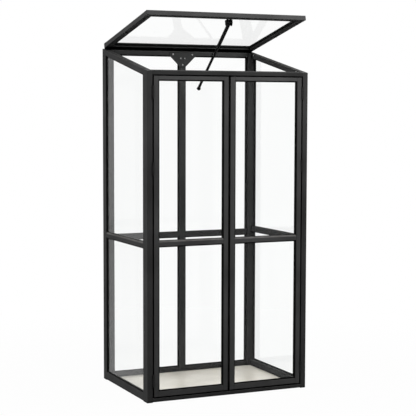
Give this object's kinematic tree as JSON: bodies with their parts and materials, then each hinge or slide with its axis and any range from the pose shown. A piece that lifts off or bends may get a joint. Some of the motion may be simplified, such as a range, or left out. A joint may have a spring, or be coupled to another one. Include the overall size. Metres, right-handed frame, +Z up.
{
  "type": "balcony greenhouse",
  "caption": "Upright lean-to balcony greenhouse: dark metal frame with clear panes, inset hinged glass doors and a rear-hinged glass roof lid held open by a telescopic strut.",
  "frame": {"origin": "on the floor, under the middle of the bounding box", "axes": "+X to the right of someone facing the doors, +Y to the back, +Z up"},
  "size_m": [0.76, 0.55, 1.6499],
  "materials": {
    "frame_paint": "charcoal powder coat, satin",
    "hinge_metal": "black powder coat, satin",
    "strut_metal": "black paint, semi-gloss",
    "glass": "clear, polished",
    "seal_rubber": "black, matt",
    "plug_plastic": "black, moulded",
    "screw_steel": "plain steel",
    "magnet": "nickel-plated",
    "floor_sheet": "pale grey, matt"
  },
  "bodies": {
    "frame": {"door_head_stop": "frame_paint", "door_hinge_post_leaves": "hinge_metal", "door_magnets": "magnet", "floor_panel": "floor_sheet", "foot_plugs": "plug_plastic", "frame_screws": "screw_steel", "front_left_post": "frame_paint", "front_right_post": "frame_paint", "front_sill": "frame_paint", "front_top_rail": "frame_paint", "hinge_pins": "hinge_metal", "left_base_rail": "frame_paint", "left_mid_rail": "frame_paint", "left_slope_rail": "frame_paint", "lid_hinge_frame_leaf": "hinge_metal", "post_top_plugs": "plug_plastic", "rail_keys": "plug_plastic", "rear_base_rail": "frame_paint", "rear_centre_post": "frame_paint", "rear_floor_ledge": "frame_paint", "rear_left_post": "frame_paint", "rear_mid_rails": "frame_paint", "rear_panes": "glass", "rear_right_post": "frame_paint", "rear_top_rail": "frame_paint", "right_base_rail": "frame_paint", "right_mid_rail": "frame_paint", "right_slope_rail": "frame_paint", "side_panes": "glass", "sill_angle": "frame_paint", "strut_anchor_arm": "strut_metal", "top_gusset_plate": "frame_paint", "wall_seals": "seal_rubber"},
    "left_door": {"left_door_end_rails": "frame_paint", "left_door_hinge_leaves": "hinge_metal", "left_door_hinge_stile": "frame_paint", "left_door_meeting_stile": "frame_paint", "left_door_mid_bar": "frame_paint", "left_door_panes": "glass", "left_door_seals": "seal_rubber"},
    "right_door": {"right_door_end_rails": "frame_paint", "right_door_hinge_leaves": "hinge_metal", "right_door_hinge_stile": "frame_paint", "right_door_meeting_stile": "frame_paint", "right_door_mid_bar": "frame_paint", "right_door_panes": "glass", "right_door_seals": "seal_rubber"},
    "lid": {"lid_bracket_screws": "screw_steel", "lid_bumpers": "seal_rubber", "lid_front_rail": "frame_paint", "lid_hinge_leaf": "hinge_metal", "lid_pane": "glass", "lid_rear_rail": "frame_paint", "lid_seal": "seal_rubber", "lid_side_rails": "frame_paint", "lid_strut_bracket": "strut_metal", "lid_strut_pin": "strut_metal"},
    "strut_tube": {"strut_tube": "strut_metal"},
    "strut_rod": {"strut_rod": "strut_metal", "strut_rod_end": "strut_metal"}
  },
  "joints": [
    {"name": "left_door_hinge", "type": "hinge", "parent": "frame", "child": "left_door", "pos_m": [-0.35275, -0.2705, 0.7], "axis": [0, 0, -1], "range_deg": [0, 120]},
    {"name": "right_door_hinge", "type": "hinge", "parent": "frame", "child": "right_door", "pos_m": [0.35275, -0.2705, 0.7], "axis": [0, 0, 1], "range_deg": [0, 120]},
    {"name": "lid_hinge", "type": "hinge", "parent": "frame", "child": "lid", "pos_m": [0, 0.2685, 1.51271], "axis": [1, 0, 0], "range_deg": [0, 24]},
    {"name": "strut_swing", "type": "hinge", "parent": "lid", "child": "strut_tube", "pos_m": [0.017, -0.2231, 1.60541], "axis": [-0.6252, -0.34, -0.7025], "range_deg": [0, 1.4]},
    {"name": "strut_slide", "type": "slide", "parent": "strut_tube", "child": "strut_rod", "axis": [0.1121, 0.8516, -0.512], "range_m": [-0.0755, 0]}
  ],
  "couplings": [
    {"joint": "strut_swing", "follows": "lid_hinge", "ratio": 0.057503},
    {"joint": "strut_slide", "follows": "lid_hinge", "m_per_rad": -0.17847}
  ]
}
